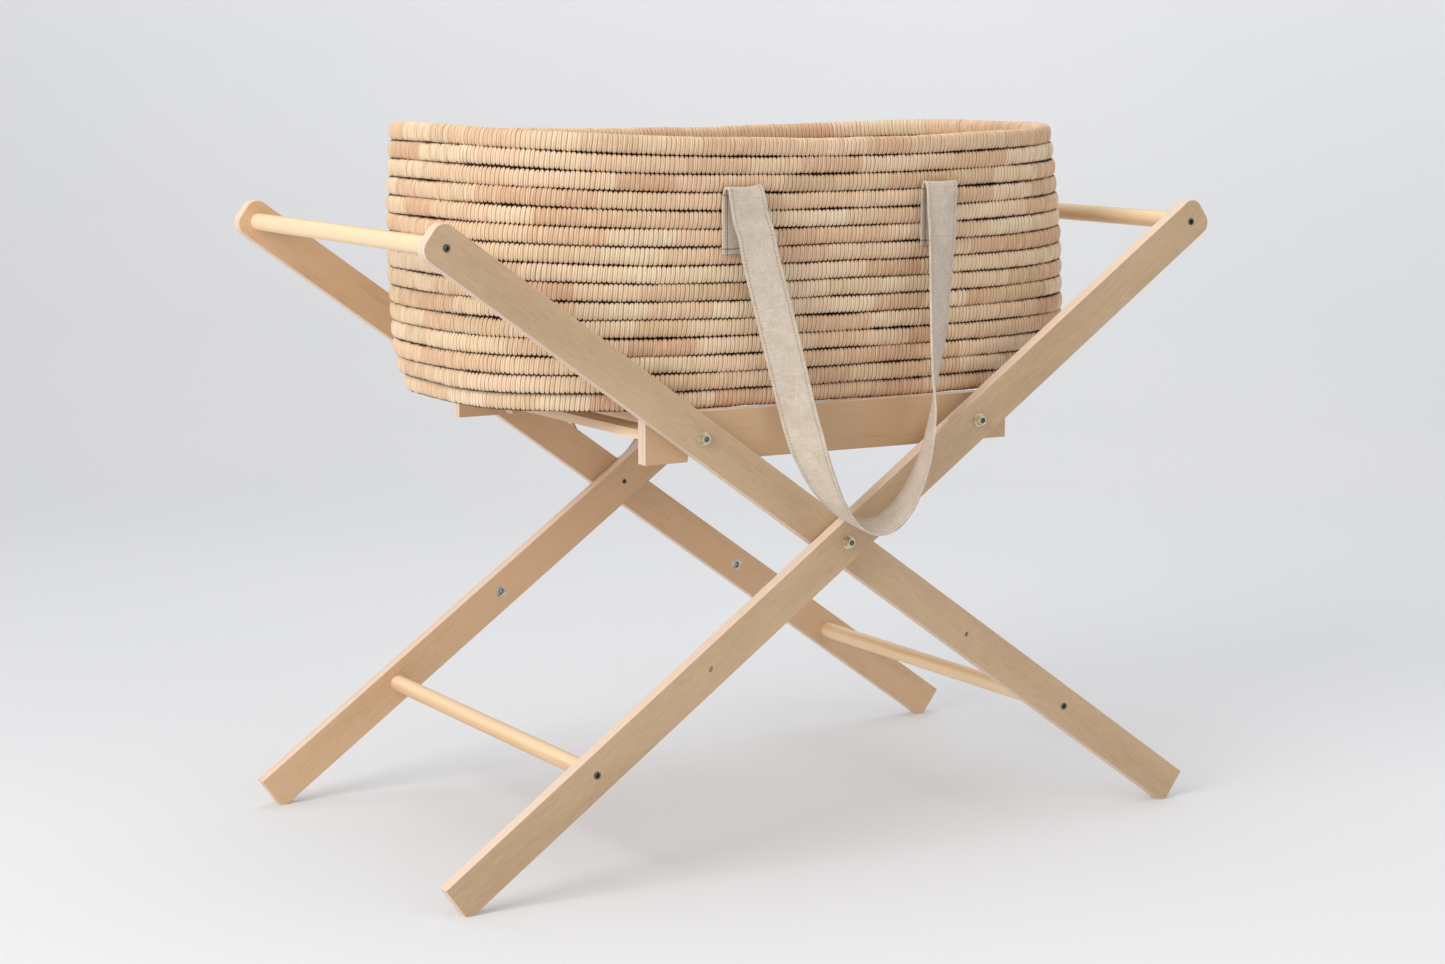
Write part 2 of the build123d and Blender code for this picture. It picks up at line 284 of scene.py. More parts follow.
def sheet_place(travel):
    """How far back and how high the studio sheet is after a length of travel."""
    flat = CURVE_START - FLOOR_FRONT
    arc = CURVE_RADIUS * math.pi / 2
    if travel <= flat:
        return FLOOR_FRONT + travel, 0.0
    if travel <= flat + arc:
        turn = (travel - flat) / CURVE_RADIUS
        return CURVE_START + CURVE_RADIUS * math.sin(turn), CURVE_RADIUS * (1 - math.cos(turn))
    return CURVE_START + CURVE_RADIUS, CURVE_RADIUS + travel - flat - arc


deselect()
bpy.ops.mesh.primitive_grid_add(x_subdivisions=1, y_subdivisions=SHEET_STEPS, size=1)
floor = bpy.context.object
floor.name = "studio_sheet"
travel_total = CURVE_START - FLOOR_FRONT + CURVE_RADIUS * math.pi / 2 + WALL_TOP - CURVE_RADIUS
turn_sheet = camera.rotation_euler.z
for vertex in floor.data.vertices:
    across = vertex.co.x * FLOOR_WIDTH
    back, up = sheet_place((vertex.co.y + 0.5) * travel_total)
    x = across * math.cos(turn_sheet) - back * math.sin(turn_sheet)
    y = across * math.sin(turn_sheet) + back * math.cos(turn_sheet)
    vertex.co = (x, y, up)
bpy.ops.object.shade_smooth()

floor_paint = Paint("studio_sheet")
clouds = floor_paint.noise(floor_paint.place, 0.5, 2.0)
floor_x, floor_y, floor_z = floor_paint.axes(floor_paint.place)
floor_colour = floor_paint.ramp(clouds, (0.3, srgb(215, 217, 220)), (0.7, srgb(220, 221, 223)))
to_right = floor_x * math.cos(turn_sheet) + floor_y * math.sin(turn_sheet)
glow = floor_z.step(0.0, CURVE_RADIUS) * WALL_GLOW + to_right.step(-2.2, 1.0) * RIGHT_GLOW
glow_colour = floor_paint.combine(glow, glow * 1.01, glow * 1.03)
floor_paint.feed(floor_paint.shader.inputs["Emission Color"], glow_colour)
floor_paint.shader.inputs["Emission Strength"].default_value = 1.0
floor.data.materials.append(floor_paint.finish(floor_colour, clouds * 0.1 + 0.8))
print("studio sheet", FLOOR_WIDTH, "m wide")

# %% [markdown]
# ## Plywood
# The legs and rails are strips of thin-veneered plywood. Their broad faces show a fine, warm,
# nearly plain grain along the strip, and their cut edges show the pale stack of veneers. The
# object-space normal tells an edge from a face, and a turned coordinate runs along the strip.

# %% Plywood
LEG_ANGLE = math.radians(35.7)
VENEER = 0.00135


EDGE_LIGHT = srgb(240, 218, 198)
EDGE_DARK = srgb(205, 172, 146)
NEAR_FACE = (srgb(201, 172, 139), srgb(183, 153, 120))
# The far legs show their inner faces; their colours are painted warmer and lighter than the near
# ones, as painted bounce light.
FAR_FACE_WARM_BOUNCE = (srgb(214, 179, 142), srgb(196, 158, 120))
# The rails' colours are partly their own and partly painted shade: darker for the near rail's face,
# which lies in shade under the basket.
RAIL_FACE_WITH_SHADE = (srgb(200, 166, 130), srgb(172, 136, 101))


def plywood(name, angle, face_colours, streak):
    """Plywood whose grain is turned by an angle about Y; streak is how lively its figure is."""
    face_light, face_dark = face_colours
    paint = Paint(name)
    turned = paint.node(
        "Mapping", {"vector_type": "POINT"}, {"Vector": paint.place, "Rotation": (0, angle, 0)}
    )
    along, thick, across = paint.axes(turned)
    stretched = paint.combine(along * 3.2, thick * 40, across * 60)
    broad = paint.combine(along * 5, thick * 20, across * 18)
    fine = paint.combine(along * 60, thick * 260, across * 420)
    figure = paint.noise(stretched, 1.0, 5.0, 0.6)
    clouds = paint.noise(broad, 1.0, 2.0, 0.5)
    pores = paint.noise(fine, 1.0, 3.0, 0.6)
    lines = paint.noise(paint.combine(along * 7, thick * 90, across * 330), 1.0, 2.0)
    tone = figure * streak * 0.6 + lines * streak * 0.5
    tone = tone + clouds * (0.6 - streak * 0.6) + pores * 0.4
    face = paint.ramp(tone, (0.38, face_dark), (0.62, face_light))
    flecks = pores.step(0.66, 0.74)
    face = paint.mix(flecks * 0.22, face, face_dark)

    layer = thick / VENEER
    line = abs(layer.fract() - 0.5) * 2
    kind = paint.random(layer.floor())
    veneer = paint.mix(kind * 0.6, EDGE_LIGHT, EDGE_DARK)
    veneer = paint.mix(line.step(0.8, 0.98) * 0.5, veneer, EDGE_DARK)
    veneer = paint.mix(pores.step(0.55, 0.8) * 0.35, veneer, EDGE_DARK)
    _, facing, _ = paint.axes(paint.normal)
    is_face = abs(facing).step(0.55, 0.8)
    colour = paint.mix(is_face, veneer, face)
    rough = figure * 0.12 + 0.5
    height = pores * 0.5 + figure * 0.3 - line.step(0.85, 1.0) * (1 - is_face)
    return paint.finish(colour, rough, height, 0.00012, specular=0.35)


PLY = {
    "near_a": plywood("plywood_near_a", -LEG_ANGLE, NEAR_FACE, 0.2),
    "near_b": plywood("plywood_near_b", LEG_ANGLE, NEAR_FACE, 0.2),
    "far_a": plywood("plywood_far_a", -LEG_ANGLE, FAR_FACE_WARM_BOUNCE, 0.45),
    "far_b": plywood("plywood_far_b", LEG_ANGLE, FAR_FACE_WARM_BOUNCE, 0.45),
    "rail": plywood("plywood_rail", 0.0, RAIL_FACE_WITH_SHADE, 0.7),
}


def dress(node, material):
    """Give a frame node one material."""
    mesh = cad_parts[node].data
    mesh.materials.clear()
    mesh.materials.append(material)
    for face in mesh.polygons:
        face.material_index = 0


for side in ("near", "far"):
    for letter in ("a", "b"):
        dress(f"leg_{letter}_{side}", PLY[f"{side}_{letter}"])
    dress(f"tray_rail_{side}", PLY["rail"])
print("plywood on four legs and two rails")

# %% [markdown]
# ## Pine
# The dowels and the tray's slats are solid softwood, paler and yellower than the plywood, with
# soft darker growth lines along their length, which is Y.

# %% Pine
GRAIN_PITCH = 0.0032


def pine(name, light, dark):
    """Softwood with growth lines along Y."""
    paint = Paint(name)
    x, y, z = paint.axes(paint.place)
    wander = paint.noise(paint.combine(x * 12, y * 2.2, z * 12), 1.0, 2.0)
    rings = ((x + z * 0.6) / GRAIN_PITCH + wander * 5.5).sine() * 0.5 + 0.5
    fibres = paint.noise(paint.combine(x * 500, y * 14, z * 500), 1.0, 3.0)
    tone = rings * 0.62 + fibres * 0.38
    colour = paint.ramp(tone, (0.1, light), (0.55, light), (0.95, dark))
    rough = fibres * 0.15 + 0.42
    return paint.finish(colour, rough, fibres, 0.0001, specular=0.4)


dowel_wood = pine("pine_dowel", srgb(238, 210, 172), srgb(214, 172, 128))
slat_wood = pine("pine_slat", srgb(238, 208, 174), srgb(212, 172, 134))
for letter in ("a", "b"):
    for level in ("upper", "lower"):
        dress(f"dowel_{letter}_{level}", dowel_wood)
for slat in ("left_end", "left_inner", "right_inner", "right_end"):
    dress(f"tray_slat_{slat}", slat_wood)
print("pine on four dowels and four slats")

# %% [markdown]
# ## Metal and nylon
# The washers, lock nuts, pins and inserts are zinc plated, the screws are dark, and the sleeves
# are natural nylon. A little noise in the roughness keeps them from looking like plastic.

# %% Metal and nylon
def metal(name, light, dark, rough_low, rough_high):
    """Bare or plated metal with faint smears and scratches."""
    paint = Paint(name)
    smears = paint.noise(paint.place, 180.0, 3.0)
    scratches = paint.noise(paint.place, 1400.0, 2.0)
    colour = paint.ramp(smears, (0.3, dark), (0.7, light))
    rough = scratches * (rough_high - rough_low) + rough_low
    return paint.finish(colour, rough, scratches, 0.00002, metallic=1.0)


zinc = metal("zinc_plate", srgb(238, 230, 206), srgb(196, 186, 160), 0.22, 0.42)
insert_zinc = metal("bright_insert", srgb(222, 216, 204), srgb(150, 140, 126), 0.15, 0.35)
dark_steel = metal("dark_screw", srgb(132, 130, 118), srgb(62, 60, 52), 0.25, 0.5)

nylon_paint = Paint("nylon")
nylon_clouds = nylon_paint.noise(nylon_paint.place, 220.0)
nylon = nylon_paint.finish(
    nylon_paint.ramp(nylon_clouds, (0.3, srgb(226, 220, 206)), (0.7, srgb(238, 234, 222))),
    nylon_clouds * 0.1 + 0.4,
    nylon_clouds,
    0.00004,
)

for letter in ("a", "b"):
    for part in ("pin_washers", "pin_nuts"):
        dress(f"{part}_{letter}", zinc)
    dress(f"support_pins_{letter}", dark_steel)
    dress(f"threaded_inserts_{letter}", insert_zinc)
    dress(f"dowel_screws_{letter}", dark_steel)
    dress(f"pin_sleeve_{letter}", nylon)
for part in ("spacers", "washers", "nuts"):
    dress(f"pivot_{part}", zinc)
dress("pivot_studs", dark_steel)
print("metal and nylon done")

# %% [markdown]
# ## Palm leaf
# Each row of the basket is a bundle of stalks wrapped in strips of dry palm leaf. The weaver
# changes strips every few turns, so the colour jumps from cream to tan to brown along a row. The
# UV map carries the pattern: U counts the turns of leaf along a row, and V goes once round the
# coil, from its outer face over the top.

# %% Palm leaf
PATCH_TURNS = 13.0


def palm_leaf(name, top_crease_shade=1.0):
    """Palm leaf with painted crease shade; the last argument is 0 where no row lies above."""
    paint = Paint(name)
    turns, round_coil, _ = paint.axes(paint.uv)
    sway = paint.noise(paint.combine(turns * 0.6, round_coil * 1.4, 0.0), 1.0, 1.0)
    inside = (turns + (sway - 0.5) * 0.5).fract()
    own = paint.random(turns.floor() + 0.37)
    strand = paint.random((turns * 2).floor() + 0.61)

    patch = paint.node(
        "TexVoronoi", {"voronoi_dimensions": "1D"}, {"W": turns / PATCH_TURNS, "Scale": 1.0}, "Color"
    )
    patch_tone, patch_hue, patch_third = paint.axes(patch)
    drift = paint.noise(paint.combine(turns * 0.03, patch_third, 0.0), 1.0, 2.0)
    tone = patch_tone * 0.62 + own * 0.1 + strand * 0.12 + drift * 0.3 - 0.06
    colour = paint.ramp(
        tone,
        (0.0, srgb(188, 140, 104)),
        (0.25, srgb(214, 173, 137)),
        (0.5, srgb(232, 199, 163)),
        (0.75, srgb(243, 218, 186)),
        (1.0, srgb(252, 236, 212)),
    )
    hue = paint.ramp(
        patch_hue,
        (0.0, srgb(224, 178, 146)),
        (0.45, srgb(234, 198, 160)),
        (0.8, srgb(232, 208, 166)),
        (1.0, srgb(212, 202, 160)),
    )
    colour = paint.mix(0.33, colour, hue)

    threads = paint.combine(turns * 5.0, round_coil * 2.2, patch_third * 7)
    fibres = paint.noise(threads, 1.0, 4.0, 0.65)
    colour = paint.mix(fibres.step(0.48, 0.72) * 0.6, colour, srgb(253, 240, 220))
    colour = paint.mix(fibres.step(0.48, 0.26) * 0.5, colour, srgb(168, 122, 86))

    # Painted shade: a dark line down the groove between turns and a fainter one down the groove
    # between the two strands, stronger on some turns than on others.
    from_middle = abs(inside - 0.5)
    from_join = 0.5 - from_middle
    join = 1 - from_join.step(0.0, 0.2)
    split = 1 - from_middle.step(0.0, 0.13)
    line = join * (own * 0.6 + 0.25) + split * (strand * 0.5 + 0.05)
    colour = paint.mix(line, colour, srgb(146, 102, 68))

    # Painted shade: near-black creases along the bottom of the coil, where it meets the row below,
    # and along its top where a row lies above; at each join between turns they reach further round
    # the coil, in teeth.
    up = (round_coil * (2 * math.pi)).sine()
    reach = from_join * 0.46 + own * 0.1
    lower = (0 - up - reach).step(0.6, 0.7)
    upper = (up - reach).step(0.6, 0.7) * top_crease_shade
    colour = paint.mix(lower + upper, colour, srgb(60, 36, 21))
    rough = fibres * 0.2 + 0.55
    height = fibres * 0.5 - join * 0.8 - split * 0.4
    return paint.finish(colour, rough, height, 0.0006, specular=0.3)


leaf = palm_leaf("palm_leaf")
rim_leaf = palm_leaf("palm_leaf_rim", 0.0)
print("palm leaf ready")

# %% [markdown]
# ## One turn of leaf
# A single turn is modelled first: a ring round the bundle, a little squarer than a circle because
# rows press on each other, extruded along X in four steps so that the leaf lies in two strands
# with a shallow groove between them and a deeper one at the next turn. It leans a little, as a
# stitch does that catches the row below.

# %% One turn
ROWS = 15
WALL_HEIGHT_MIDDLE = 0.264
ROW_PITCH = WALL_HEIGHT_MIDDLE / ROWS
COIL_HALF_HEIGHT = ROW_PITCH / 2 + 0.0009
COIL_HALF_DEPTH = 0.0086
TURN_WIDTH = 0.0048
COIL_SQUARENESS = 3.0
WALL_STEPS = ((0.0, 0.92), (0.24, 1.0), (0.5, 0.96), (0.76, 1.0), (1.0, 0.92))
WALL_POINTS = 16
LEAN = 0.0011


def squared(angle, power):
    """A point of a unit circle pushed out towards a square."""
    size = (abs(math.cos(angle)) ** power + abs(math.sin(angle)) ** power) ** (-1 / power)
    return size * math.cos(angle), size * math.sin(angle)


def model_turn(half_depth, half_height, points_round, steps, crease_shade_turn=0.0):
    """One turn of leaf round the coil, along X, as wide as one unit of the UV map.

    Each step is a share of the turn's width with the coil's size there, and the last argument shifts
    the pattern round the coil, so that the painted crease shade falls on the sides where the next
    row lies.
    """
    deselect()
    bpy.ops.mesh.primitive_circle_add(
        vertices=points_round, radius=1, fill_type="NOTHING", rotation=(math.pi / 2, 0, math.pi / 2)
    )
    turn = bpy.context.object
    bpy.ops.object.transform_apply(location=True, rotation=True, scale=True)
    for vertex in turn.data.vertices:
        angle = math.atan2(vertex.co.z, -vertex.co.y)
        out, up = squared(angle, COIL_SQUARENESS)
        vertex.co = (0, -out * half_depth, up * half_height)
    bpy.ops.object.mode_set(mode="EDIT")
    bpy.ops.mesh.select_all(action="SELECT")
    start = steps[0][1]
    bpy.ops.transform.resize(value=(1, start, start))
    for before, after in zip(steps, steps[1:]):
        advance = (after[0] - before[0]) * TURN_WIDTH
        bpy.ops.mesh.extrude_region_move(TRANSFORM_OT_translate={"value": (advance, 0, 0)})
        bpy.ops.transform.resize(value=(1, after[1] / before[1], after[1] / before[1]))
    bpy.ops.mesh.select_all(action="SELECT")
    bpy.ops.mesh.normals_make_consistent(inside=False)
    bpy.ops.object.mode_set(mode="OBJECT")

    mesh = turn.data
    uv = (mesh.uv_layers.active or mesh.uv_layers.new(name="UVMap")).data
    for face in mesh.polygons:
        middle = sum((mesh.vertices[v].co for v in face.vertices), Vector()) / len(face.vertices)
        middle_round = math.atan2(middle.z, -middle.y) / (2 * math.pi)
        for loop in face.loop_indices:
            co = mesh.vertices[mesh.loops[loop].vertex_index].co
            share = math.atan2(co.z, -co.y) / (2 * math.pi)
            share += round(middle_round - share)
            uv[loop].uv = (co.x / TURN_WIDTH, share + crease_shade_turn)
    for vertex in mesh.vertices:
        vertex.co.x += LEAN * vertex.co.z / half_height
    return turn


wall_turn = model_turn(COIL_HALF_DEPTH, COIL_HALF_HEIGHT, WALL_POINTS, WALL_STEPS)
print("one turn of leaf:", len(wall_turn.data.polygons), "faces")

# %% [markdown]
# ## A row of the basket
# An Array modifier repeats the turn, and a Curve modifier lays the array along the row's own
# closed line, which follows the basket's squared oval. The upper rows rise towards the two ends.
# The number of turns is chosen to fill the line exactly, and a faint Displace keeps the rows from
# looking machine made.

# %% A row
LINE_POINTS = 72
BASKET_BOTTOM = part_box("basket_base")[0].z
HALF_LENGTH = 0.366
HALF_WIDTH = 0.214
TOP_NARROWING = 0.0076
BELLY_X = 0.008
BELLY_Y = 0.002
SQUARENESS = 3.1
CENTRE_LOW = 0.0183
CENTRE_HIGH = 0.0062
RISE_LEFT = 0.015
RISE_RIGHT = 0.009
FOOT_INSET_ENDS = (0.008, 0.002)
FOOT_INSET_SIDES = (0.002, 0.0)
WAVER_UP = 0.0004
WAVER_OUT = 0.0005
PATTERN_STEP = 1000.0
MERGE = 0.0004

random = np.random.default_rng(7)
lumps = bpy.data.textures.new("lumps", "CLOUDS")
lumps.noise_scale = 0.012
lumps.noise_depth = 1


def oval(turn, half_length, half_width, power=SQUARENESS):
    """A point on a squared oval, in the direction of a turn from +X."""
    across = abs(math.cos(turn) / half_length) ** power
    along = abs(math.sin(turn) / half_width) ** power
    radius = (across + along) ** (-1 / power)
    return radius * math.cos(turn), radius * math.sin(turn)


def wall_line(row):
    """The closed line through the middle of a row, from the basket's sizes at its height."""
    h = (row + 0.5) / ROWS
    belly = 4 * h * (1 - h)
    inset_ends = COIL_HALF_DEPTH + (FOOT_INSET_ENDS[row] if row < 2 else 0)
    inset_sides = COIL_HALF_DEPTH + (FOOT_INSET_SIDES[row] if row < 2 else 0)
    half_length = HALF_LENGTH - TOP_NARROWING * h + BELLY_X * belly - inset_ends
    half_width = HALF_WIDTH + BELLY_Y * belly - inset_sides
    centre = CENTRE_LOW + (CENTRE_HIGH - CENTRE_LOW) * h
    phase = random.uniform(0, 2 * math.pi, 6)
    points = []
    for i in range(LINE_POINTS):
        turn = 2 * math.pi * i / LINE_POINTS
        x, y = oval(turn, half_length, half_width)
        waver_z = WAVER_UP * (math.sin(5 * turn + phase[0]) + math.sin(11 * turn + phase[1]))
        waver_out = WAVER_OUT * (math.sin(4 * turn + phase[2]) + math.sin(9 * turn + phase[3]))
        z = BASKET_BOTTOM + h * WALL_HEIGHT_MIDDLE + waver_z
        points.append((centre + x * (1 + waver_out), y * (1 - abs(waver_out)), z))
    return points


def make_line(name, points):
    """A closed smooth curve through a list of points."""
    curve = bpy.data.curves.new(name, "CURVE")
    curve.dimensions = "3D"
    curve.twist_mode = "Z_UP"
    curve.resolution_u = 6
    spline = curve.splines.new("NURBS")
    spline.points.add(len(points) - 1)
    for point, place in zip(spline.points, points):
        point.co = (*place, 1)
    spline.use_cyclic_u = True
    spline.order_u = 4
    line = bpy.data.objects.new(name, curve)
    scene.collection.objects.link(line)
    return line


def line_length(line):
    """The length of a closed curve."""
    mesh = bpy.data.meshes.new_from_object(line)
    places = np.array([v.co for v in mesh.vertices])
    bpy.data.meshes.remove(mesh)
    return float(np.linalg.norm(np.roll(places, -1, axis=0) - places, axis=1).sum())


def coil(name, turn, line, material, first_turn, lump=0.0009):
    """Repeat a turn of leaf along a closed line and join the two ends."""
    length = line_length(line)
    count = round(length / TURN_WIDTH)
    fit = length / (count * TURN_WIDTH)
    row = bpy.data.objects.new(name, turn.data.copy())
    scene.collection.objects.link(row)
    deselect()
    row.select_set(True)
    bpy.context.view_layer.objects.active = row
    for vertex in row.data.vertices:
        vertex.co.x *= fit
    array = row.modifiers.new("turns", "ARRAY")
    array.count = count
    array.use_relative_offset = False
    array.use_constant_offset = True
    array.constant_offset_displace = (TURN_WIDTH * fit, 0, 0)
    array.use_merge_vertices = True
    array.merge_threshold = 0.00002
    array.offset_u = 1.0
    bend = row.modifiers.new("bend", "CURVE")
    bend.object = line
    bend.deform_axis = "POS_X"
    bpy.ops.object.modifier_apply(modifier="turns")
    bpy.ops.object.modifier_apply(modifier="bend")
    bpy.ops.object.mode_set(mode="EDIT")
    bpy.ops.mesh.select_all(action="SELECT")
    bpy.ops.mesh.remove_doubles(threshold=MERGE)
    bpy.ops.object.mode_set(mode="OBJECT")
    uneven = row.modifiers.new("uneven", "DISPLACE")
    uneven.texture = lumps
    uneven.texture_coords = "LOCAL"
    uneven.strength = lump
    uneven.mid_level = 0.5
    bpy.ops.object.modifier_apply(modifier="uneven")
    for loop in row.data.uv_layers.active.data:
        loop.uv.x += first_turn
    row.data.materials.clear()
    row.data.materials.append(material)
    bpy.ops.object.shade_smooth()
    bpy.data.objects.remove(line)
    return row


def raise_ends(row):
    """Stretch a row upwards towards the two ends of the basket, where the wall is taller."""
    for vertex in row.data.vertices:
        x = vertex.co.x - (CENTRE_LOW + CENTRE_HIGH) / 2
        rise = (RISE_LEFT if x < 0 else RISE_RIGHT) * (x / HALF_LENGTH) ** 2
        vertex.co.z += (vertex.co.z - BASKET_BOTTOM) / WALL_HEIGHT_MIDDLE * rise


for number in range(ROWS):
    line = make_line("row_line", wall_line(number))
    is_rim = number == ROWS - 1
    row = coil(
        "basket_rim_row" if is_rim else f"basket_row_{number + 1:02}",
        wall_turn,
        line,
        rim_leaf if is_rim else leaf,
        PATTERN_STEP * number,
    )
    raise_ends(row)
    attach(row, "basket")
    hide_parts("basket_rim" if is_rim else "basket_wall")

# %% [markdown]
# ## The woven base
# The floor of the basket is the start of the same coil: one flat oval in the middle and ovals
# round it, each a pitch wider, up to the lowest row of the wall. The turns are flatter here and
# have fewer faces. Ovals of one shape drift apart at the corners, so each oval is a little squarer
# than the one outside it, and a thin sheet of leaf in the middle of the coils closes what is left.

# %% Base
BASE_THICKNESS = 0.0165
BASE_RINGS = 11
BASE_LINE_POINTS = 48
BASE_POINTS = 10
BASE_STEPS = ((0.0, 0.95), (0.45, 1.0), (1.0, 0.95))
BASE_MIDDLE = BASKET_BOTTOM + BASE_THICKNESS / 2
BASE_SQUEEZE = 0.0009
BASE_SLACK = 0.0006
BASE_LUMP = 0.0004
BASE_PATTERN_STEP = 500.0
INNERMOST_HALF_WIDTH = 0.004
LEAF_SHEET_POINTS = 96
LEAF_SHEET_THICKNESS = 0.003
SQUARER_PER_RING = 0.12
foot_half_length = HALF_LENGTH - COIL_HALF_DEPTH - FOOT_INSET_ENDS[0]
foot_half_width = HALF_WIDTH - COIL_HALF_DEPTH - FOOT_INSET_SIDES[0]
# The base turns are turned a quarter round, so that their painted crease shade lies on the sides
# where the rings touch.
base_turn = model_turn(
    ROW_PITCH / 2 + BASE_SQUEEZE,
    BASE_THICKNESS / 2 - BASE_SLACK,
    BASE_POINTS,
    BASE_STEPS,
    crease_shade_turn=0.25,
)


def base_line(ring):
    """The closed line of one oval of the base; ring 1 touches the wall's lowest row."""
    half_length = foot_half_length - ring * ROW_PITCH
    half_width = max(foot_half_width - ring * ROW_PITCH, INNERMOST_HALF_WIDTH)
    power = SQUARENESS + SQUARER_PER_RING * ring
    points = []
    for i in range(BASE_LINE_POINTS):
        x, y = oval(2 * math.pi * i / BASE_LINE_POINTS, half_length, half_width, power)
        points.append((CENTRE_LOW + x, y, BASE_MIDDLE))
    return points


def base_sheet():
    """The thin sheet between the coils, a flat oval with a thickness."""
    deselect()
    bpy.ops.mesh.primitive_circle_add(vertices=LEAF_SHEET_POINTS, radius=1, fill_type="NGON")
    sheet = bpy.context.object
    for i, vertex in enumerate(sheet.data.vertices):
        x, y = oval(2 * math.pi * i / LEAF_SHEET_POINTS, foot_half_length, foot_half_width)
        vertex.co = (CENTRE_LOW + x, y, BASE_MIDDLE)
    for loop in sheet.data.uv_layers.active.data:
        loop.uv = (loop.uv.x * 40, 0.5)
    sheet.data.materials.append(leaf)
    bpy.ops.object.mode_set(mode="EDIT")
    bpy.ops.mesh.select_all(action="SELECT")
    bpy.ops.mesh.normals_make_consistent(inside=False)
    bpy.ops.object.mode_set(mode="OBJECT")
    thick = sheet.modifiers.new("thick", "SOLIDIFY")
    thick.thickness = LEAF_SHEET_THICKNESS
    thick.offset = 0
    bpy.ops.object.modifier_apply(modifier="thick")
    return sheet


base_parts = [base_sheet()]
for ring in range(1, BASE_RINGS + 1):
    line = make_line("base_line", base_line(ring))
    first_turn = BASE_PATTERN_STEP * ring
    base_parts.append(coil(f"base_ring_{ring:02}", base_turn, line, leaf, first_turn, BASE_LUMP))
deselect()
for piece in base_parts:
    piece.select_set(True)
base = base_parts[0]
bpy.context.view_layer.objects.active = base
bpy.ops.object.join()
base.name = "woven_base"
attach(base, "basket")
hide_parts("basket_base")
print("base:", len(base.data.polygons), "faces")

# %% [markdown]
# ## Linen webbing
# The straps are plain-woven linen, folded over and hemmed, so a stitch line runs a few
# millimetres inside each edge. The UV map is in metres: U across the strap, V along it.

# %% Linen
STRAP_WIDTH = 0.038
THREAD = 0.00075
HEM = 0.0034
STITCH = 0.0032
SEWN = 0.058


def linen(length):
    """Woven linen for a strap of that length, sewn down over a short stretch at each end."""
    half_length = length / 2
    paint = Paint("linen_webbing")
    u, v, _ = paint.axes(paint.uv)
    slub = paint.noise(paint.combine(u * 90, v * 900, 0.0), 1.0, 2.0)
    slub_along = paint.noise(paint.combine(u * 900, v * 90, 3.0), 1.0, 2.0)
    clouds = paint.noise(paint.combine(u * 40, v * 40, 0.0), 1.0, 3.0)
    warp = (u * (2 * math.pi / THREAD)).sine()
    weft = (v * (2 * math.pi / THREAD)).sine()
    weave = warp * weft * 0.5 + 0.5
    tone = slub * 0.35 + slub_along * 0.35 + clouds * 0.3
    colour = paint.ramp(
        tone, (0.3, srgb(182, 165, 146)), (0.5, srgb(211, 197, 181)), (0.7, srgb(234, 224, 211))
    )
    colour = paint.mix(weave * 0.3, colour, srgb(160, 143, 124))
    from_edge = STRAP_WIDTH / 2 - abs(u - STRAP_WIDTH / 2)
    seam = 1 - abs(from_edge - HEM).step(0.0003, 0.001)
    stitch = (v / STITCH).fract().step(0.5, 0.62)
    colour = paint.mix(seam * (stitch * 0.35 + 0.08), colour, srgb(140, 120, 98))
    from_end = half_length - abs(v - half_length)
    cross_low = 1 - abs(from_end - HEM * 1.5).step(0.0004, 0.0012)
    cross_high = 1 - abs(from_end - SEWN).step(0.0004, 0.0012)
    in_patch = 1 - from_end.step(SEWN, SEWN + 0.0005)
    box_side = in_patch * (1 - abs(from_edge - HEM * 1.5).step(0.0004, 0.0012))
    sewn = cross_low + cross_high + box_side
    colour = paint.mix(sewn * 0.55, colour, srgb(96, 82, 68))
    height = weave * 0.35 + slub * 0.3 - seam * (stitch + 0.4) - sewn
    return paint.finish(colour, 0.92, height, 0.0004, specular=0.15, sheen=0.25)


print("linen described")

# %% [markdown]
# ## The straps
# Each strap is one strip. It starts flat against the wall, sewn down; folds over at the top;
# hangs out in a long loop that turns its face as it goes round; and comes back up to a second
# fold. The strip is a grid whose rows are laid along that route, then made solid.

